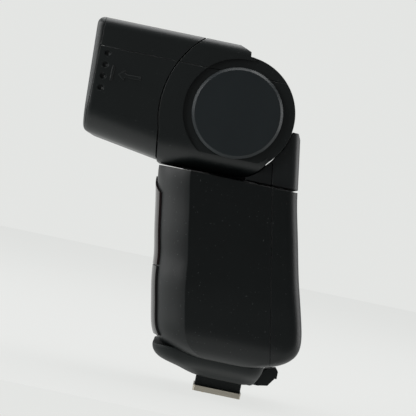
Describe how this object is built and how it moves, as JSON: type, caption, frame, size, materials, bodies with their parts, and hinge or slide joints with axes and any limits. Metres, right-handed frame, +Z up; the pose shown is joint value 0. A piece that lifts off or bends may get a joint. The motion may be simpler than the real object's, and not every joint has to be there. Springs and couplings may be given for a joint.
{
  "type": "speedlight flash",
  "caption": "Clip-on camera flash with a tilting, swivelling head, sliding zoom front, side battery door and hot-shoe foot with a lock lever.",
  "frame": {"origin": "centre of the underside of the hot-shoe foot plate", "axes": "+Z up, square to the shoe; light leaves the head along -Y at rest; +X is the viewer's left-hand side of the flash"},
  "size_m": [0.07, 0.0958, 0.128],
  "materials": {
    "casing": "fine matt texture",
    "casing_rear": "fine matt texture",
    "head_plastic": "fine matt texture",
    "window": "polished dark red-black",
    "lower_panel": "polished black",
    "base_plastic": "matt slate grey",
    "foot_metal": "worn satin",
    "steel": "bright",
    "gold": "bright",
    "lens": "ribbed clear",
    "tube": "clear",
    "mirror": "polished",
    "white_plastic": "matt",
    "board": "satin lacquer",
    "cell_wrap": "printed sleeve",
    "cap_sleeve": "shrink sleeve",
    "cap_plastic": "fine smooth",
    "scale_plate": "satin",
    "lamp": "clear orange",
    "ferrite": "dull",
    "rubber": "matt",
    "battery_plastic": "matt",
    "sensor_dark": "clear dark"
  },
  "bodies": {
    "body": {"front_casing": "casing", "rear_cover": "casing_rear", "front_window": "window", "front_lower_panel": "lower_panel", "sensor_window": "window", "exposure_scale": "scale_plate", "ready_lamp": "lamp", "base_block": "base_plastic", "base_screws": "steel", "foot_plate": "foot_metal", "foot_post": "base_plastic", "aa_cells": "cell_wrap", "battery_tray": "battery_plastic", "battery_contacts": "steel", "door_hinge_pin": "steel", "main_capacitor": "cap_sleeve", "power_board": "board", "control_board": "board", "inverter_transformer": "ferrite", "sensor_cell": "sensor_dark", "assist_lamp": "lamp"},
    "neck": {"neck_frame": "head_plastic", "neck_rear_cover": "head_plastic", "neck_screws": "steel", "swivel_retainer": "steel", "tilt_axle_right": "steel", "tilt_axle_left": "steel", "pivot_cap_right": "cap_plastic", "pivot_cap_left": "cap_plastic", "tilt_washer_right": "white_plastic", "tilt_washer_left": "white_plastic"},
    "head": {"head_upper_shell": "head_plastic", "head_lower_shell": "head_plastic", "head_screws": "steel", "zoom_sleeve": "head_plastic", "reflector": "mirror", "flash_tube": "tube", "tube_end_plates": "white_plastic", "trigger_coil": "ferrite", "head_board": "board", "click_spring": "steel"},
    "zoom_head": {"zoom_upper_shell": "head_plastic", "zoom_lower_shell": "head_plastic", "lens_bezel": "head_plastic", "fresnel_lens": "lens"},
    "door": {"battery_door": "casing", "door_contact_strip": "gold"},
    "lever": {"lock_lever": "base_plastic"},
    "lock": {"lock_pin": "steel"},
    "pin_centre": {"contact_centre": "gold"},
    "pin_front_left": {"contact_front_left": "gold"},
    "pin_front_right": {"contact_front_right": "gold"},
    "pin_rear_left": {"contact_rear_left": "gold"},
    "button": {"test_button": "rubber"},
    "power": {"power_switch": "rubber"},
    "mode": {"mode_switch": "rubber"}
  },
  "joints": [
    {"name": "head_swivel", "type": "hinge", "parent": "body", "child": "neck", "pos_m": [0, -0.0137, 0.0798], "axis": [0, 0, 1], "range_deg": [-90, 180]},
    {"name": "head_tilt", "type": "hinge", "parent": "neck", "child": "head", "pos_m": [0, -0.0137, 0.103], "axis": [-1, 0, 0], "range_deg": [0, 90]},
    {"name": "zoom_slide", "type": "slide", "parent": "head", "child": "zoom_head", "axis": [0, -1, 0], "range_m": [0, 0.012]},
    {"name": "battery_door_hinge", "type": "hinge", "parent": "body", "child": "door", "pos_m": [-0.033, 0, 0.0216], "axis": [0, -1, 0], "range_deg": [0, 100]},
    {"name": "lock_lever_turn", "type": "hinge", "parent": "body", "child": "lever", "pos_m": [0, 0, 0.007], "axis": [0, 0, 1], "range_deg": [0, 24]},
    {"name": "lock_pin_drop", "type": "slide", "parent": "body", "child": "lock", "axis": [0, 0, -1], "range_m": [0, 0.0016]},
    {"name": "test_button_press", "type": "slide", "parent": "body", "child": "button", "axis": [0, -0.9748, -0.2231], "range_m": [0, 0.0008], "stiffness_N_per_m": 400},
    {"name": "power_switch_slide", "type": "slide", "parent": "body", "child": "power", "axis": [1, 0, 0], "range_m": [0, 0.005]},
    {"name": "mode_switch_slide", "type": "slide", "parent": "body", "child": "mode", "axis": [1, 0, 0], "range_m": [0, 0.008]},
    {"name": "contact_centre_spring", "type": "slide", "parent": "body", "child": "pin_centre", "axis": [0, 0, 1], "range_m": [0, 0.0005], "stiffness_N_per_m": 300},
    {"name": "contact_front_left_spring", "type": "slide", "parent": "body", "child": "pin_front_left", "axis": [0, 0, 1], "range_m": [0, 0.0005], "stiffness_N_per_m": 300},
    {"name": "contact_front_right_spring", "type": "slide", "parent": "body", "child": "pin_front_right", "axis": [0, 0, 1], "range_m": [0, 0.0005], "stiffness_N_per_m": 300},
    {"name": "contact_rear_left_spring", "type": "slide", "parent": "body", "child": "pin_rear_left", "axis": [0, 0, 1], "range_m": [0, 0.0005], "stiffness_N_per_m": 300}
  ],
  "couplings": [
    {"joint": "lock_pin_drop", "follows": "lock_lever_turn", "m_per_rad": 0.0038197}
  ]
}
